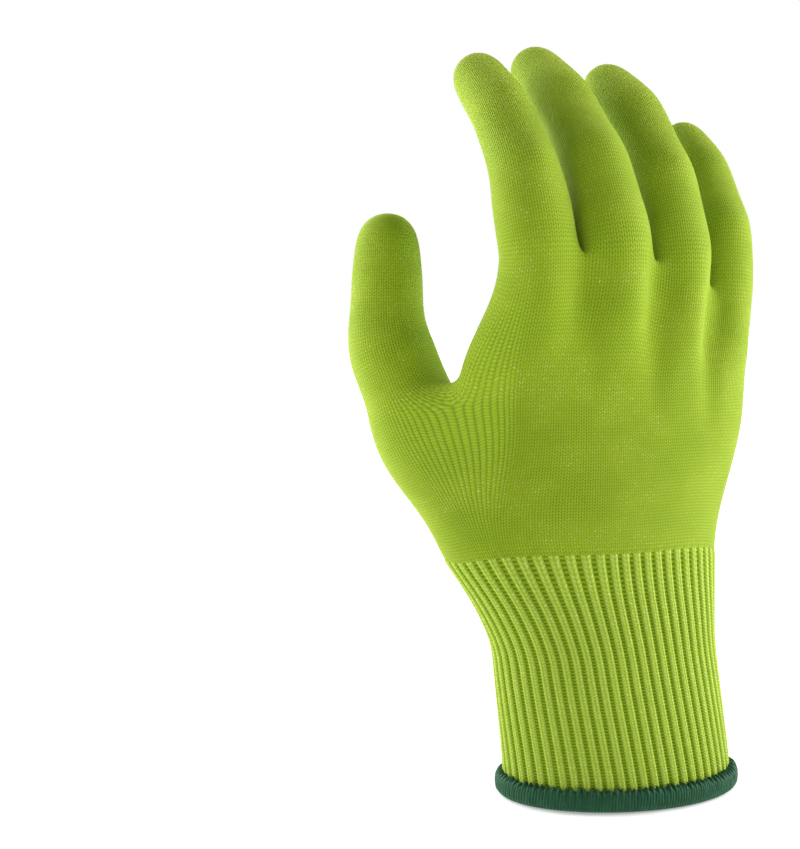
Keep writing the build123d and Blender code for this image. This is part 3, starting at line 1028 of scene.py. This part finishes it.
# Two points for the hand's knit and the lower thumb, from the outermost seam on the palm to
# the thumb's next seam, along a direction that leaves room between the two
away = unit(np.array([-0.58, 0.80, 0.17]))
on_palm = [seam("hand", other) for other in PIECES if other not in ("hand", "thumb_base")]
web = (away * (np.vstack(on_palm) @ away).max(), away * (seam("thumb_base", "thumb_end") @ away).min())
bend_piece("hand", ("palm", "thumb"), *web, "lower_palm", "upper_palm", "thumb_gusset",
           *(f"{f}_root" for f in FINGERS))
bend_piece("thumb_base", ("palm", "thumb"), *web, "thumb_proximal")
bend_at = thumb.places[1]
bend_piece("thumb_end", ("thumb", "thumb_end"), thumb.at(bend_at - THUMB_BEND_HALF)[0],
           thumb.at(bend_at + THUMB_BEND_HALF)[0], "thumb_knuckle", "thumb_tip")
for finger, stall in stalls.items():
    base, knuckle, tip_joint = stall.places[1:4]
    bodies = ("palm", f"{finger}_first", f"{finger}_second", f"{finger}_third")
    mid, far = (base + knuckle) / 2, (knuckle + tip_joint) / 2
    bend_piece(f"{finger}_base", bodies[:2], stall.at(0)[0], stall.at(mid)[0], f"{finger}_proximal")
    bend_piece(f"{finger}_mid", bodies[1:3], stall.at(mid)[0], stall.at(far)[0],
               f"{finger}_knuckle", f"{finger}_middle")
    bend_piece(f"{finger}_end", bodies[2:], stall.at(far)[0], stall.at(tip_joint * 2 - far)[0],
               f"{finger}_tip_joint", f"{finger}_tip")
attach(yarns, "cuff")
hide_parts("cuff_elastic")


# ---------------------------------------------------------------- studio

VIEW_AZIMUTH, VIEW_ELEVATION = -26, 5
VIEW_DISTANCE = 0.56        # metres, as all lengths of the studio
VIEW_TARGET = (0.0045, 0.012, 0.111)
VIEW_LENS = 75.5
VIEW_TURN = 0.1194          # the camera looks past the glove, which stands right of the centre
SIDE_BOX = (0.9, 1.3)
FRONT_BOX = (0.9, 0.9)
FLOOR_HALF = 4

scene = bpy.context.scene
scene.view_settings.view_transform = "Standard"


def add_camera():
    """Eye level at the back of the hand, from the thumb side, with the glove right of centre."""
    azimuth, elevation = math.radians(VIEW_AZIMUTH), math.radians(VIEW_ELEVATION)
    back = Vector((math.sin(azimuth) * math.cos(elevation), -math.cos(azimuth) * math.cos(elevation),
                   math.sin(elevation)))
    right = Vector((math.cos(azimuth), math.sin(azimuth), 0))
    data = bpy.data.cameras.new("camera")
    data.lens = VIEW_LENS
    camera = bpy.data.objects.new("camera", data)
    scene.collection.objects.link(camera)
    camera.location = Vector(VIEW_TARGET) + back * VIEW_DISTANCE
    camera.rotation_mode = "QUATERNION"
    camera.rotation_quaternion = (-back - right * VIEW_TURN).to_track_quat("-Z", "Y")
    scene.camera = camera


def soft_box(name, azimuth, elevation, distance, size, power):
    a, e = math.radians(azimuth), math.radians(elevation)
    middle = (Vector(cad_low) + Vector(cad_high)) / 2
    back = Vector((math.sin(a) * math.cos(e), -math.cos(a) * math.cos(e), math.sin(e)))
    data = bpy.data.lights.new(name, "AREA")
    data.shape, data.size, data.size_y, data.energy = "RECTANGLE", *size, power
    light = bpy.data.objects.new(name, data)
    light.location = middle + back * distance
    light.rotation_mode = "QUATERNION"
    light.rotation_quaternion = (-back).to_track_quat("-Z", "Y")
    scene.collection.objects.link(light)


def white_world():
    """White for the camera, and a dim fill for everything else."""
    world = bpy.data.worlds.new("studio")
    scene.world = world
    world.use_nodes = True
    tree = world.node_tree
    background = tree.nodes["Background"]
    path = tree.nodes.new("ShaderNodeLightPath")
    strength = tree.nodes.new("ShaderNodeMapRange")
    tree.links.new(path.outputs["Is Camera Ray"], strength.inputs[0])
    strength.inputs[3].default_value = 0.26
    strength.inputs[4].default_value = 1.0
    tree.links.new(strength.outputs[0], background.inputs[1])
    background.inputs[0].default_value = (1, 1, 1, 1)


def lights():
    soft_box("left_box", VIEW_AZIMUTH - 112, 12, 0.9, SIDE_BOX, 21)
    soft_box("right_box", VIEW_AZIMUTH + 107, 12, 0.9, SIDE_BOX, 21)
    soft_box("front_box", VIEW_AZIMUTH - 30, 35, 1.4, FRONT_BOX, 1.5)


def pale_floor():
    """Matt floor that glows more, and so turns white, away from the glove."""
    corners = [(x * FLOOR_HALF, y * FLOOR_HALF, 0) for x, y in ((-1, -1), (1, -1), (1, 1), (-1, 1))]
    mesh = bpy.data.meshes.new("floor")
    mesh.from_pydata(corners, [], [(0, 1, 2, 3)])
    floor = add_object("floor", mesh)
    nodes = Nodes("pale_floor")
    nodes.shader.inputs["Base Color"].default_value = (0.9, 0.9, 0.9, 1)
    nodes.shader.inputs["Roughness"].default_value = 0.9
    nodes.shader.inputs["Specular IOR Level"].default_value = 0.0
    nodes.shader.inputs["Emission Color"].default_value = (1, 1, 1, 1)
    split = nodes.tree.nodes.new("ShaderNodeSeparateXYZ")
    geometry = nodes.tree.nodes.new("ShaderNodeNewGeometry")
    nodes.tree.links.new(geometry.outputs["Position"], split.inputs[0])
    square = [nodes.math("MULTIPLY", split.outputs[k], split.outputs[k]) for k in (0, 1)]
    distance = nodes.math("SQRT", nodes.math("ADD", *square))
    glow = nodes.math("MULTIPLY_ADD", nodes.ramp(distance, 0.05, 0.6), 0.75, 0.35)
    nodes.put(nodes.shader.inputs["Emission Strength"], glow)
    mesh.materials.append(nodes.material)


add_camera()
white_world()
lights()
pale_floor()
